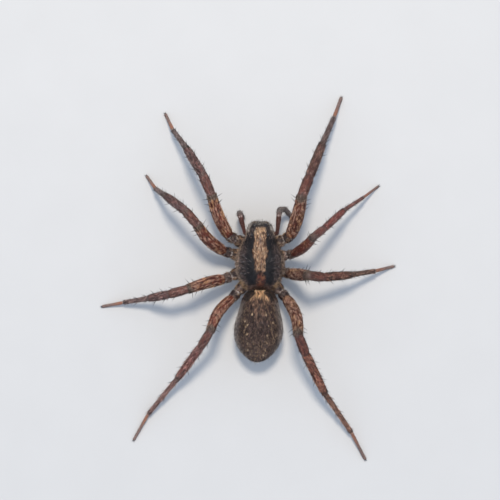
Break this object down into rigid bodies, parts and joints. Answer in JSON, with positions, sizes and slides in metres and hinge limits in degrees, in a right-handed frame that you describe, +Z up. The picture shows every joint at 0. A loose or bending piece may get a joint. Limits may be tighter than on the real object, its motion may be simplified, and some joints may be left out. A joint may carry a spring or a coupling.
{
  "type": "wolf spider",
  "caption": "Still, life-size model of a wolf spider standing with its legs spread, feelers curled in front and a pale band along its back, resting on small flats under its feet.",
  "frame": {"origin": "middle of the footprint's bounding box, on the floor", "axes": "+Z up, the head points to -Y, and the spider's own left side is +X"},
  "size_m": [0.0468, 0.0582, 0.0115],
  "materials": {
    "hide": "satin, red-brown, with short hair",
    "coat": "short dense dark hair with pale flecks",
    "jaw": "satin, dark brown",
    "fang": "gloss, nearly black",
    "eye": "gloss, black"
  },
  "bodies": {
    "root": {"abdomen": "coat", "carapace": "hide", "chelicera_left": "jaw", "chelicera_right": "jaw", "eye_front_middle_left": "eye", "eye_front_middle_right": "eye", "eye_front_outer_left": "eye", "eye_front_outer_right": "eye", "eye_large_left": "eye", "eye_large_right": "eye", "eye_rear_left": "eye", "eye_rear_right": "eye", "fang_left": "fang", "fang_right": "fang", "leg_1_left_coxa": "hide", "leg_1_left_femur": "hide", "leg_1_left_foot": "hide", "leg_1_left_tibia": "hide", "leg_1_right_coxa": "hide", "leg_1_right_femur": "hide", "leg_1_right_foot": "hide", "leg_1_right_tibia": "hide", "leg_2_left_coxa": "hide", "leg_2_left_femur": "hide", "leg_2_left_foot": "hide", "leg_2_left_tibia": "hide", "leg_2_right_coxa": "hide", "leg_2_right_femur": "hide", "leg_2_right_foot": "hide", "leg_2_right_tibia": "hide", "leg_3_left_coxa": "hide", "leg_3_left_femur": "hide", "leg_3_left_foot": "hide", "leg_3_left_tibia": "hide", "leg_3_right_coxa": "hide", "leg_3_right_femur": "hide", "leg_3_right_foot": "hide", "leg_3_right_tibia": "hide", "leg_4_left_coxa": "hide", "leg_4_left_femur": "hide", "leg_4_left_foot": "hide", "leg_4_left_tibia": "hide", "leg_4_right_coxa": "hide", "leg_4_right_femur": "hide", "leg_4_right_foot": "hide", "leg_4_right_tibia": "hide", "palp_left_base": "hide", "palp_left_femur": "hide", "palp_left_tip": "hide", "palp_right_base": "hide", "palp_right_femur": "hide", "palp_right_tip": "hide", "spinneret_1_left": "hide", "spinneret_1_right": "hide", "spinneret_2_left": "hide", "spinneret_2_right": "hide", "sternum": "hide", "waist": "hide"}
  },
  "joints": []
}
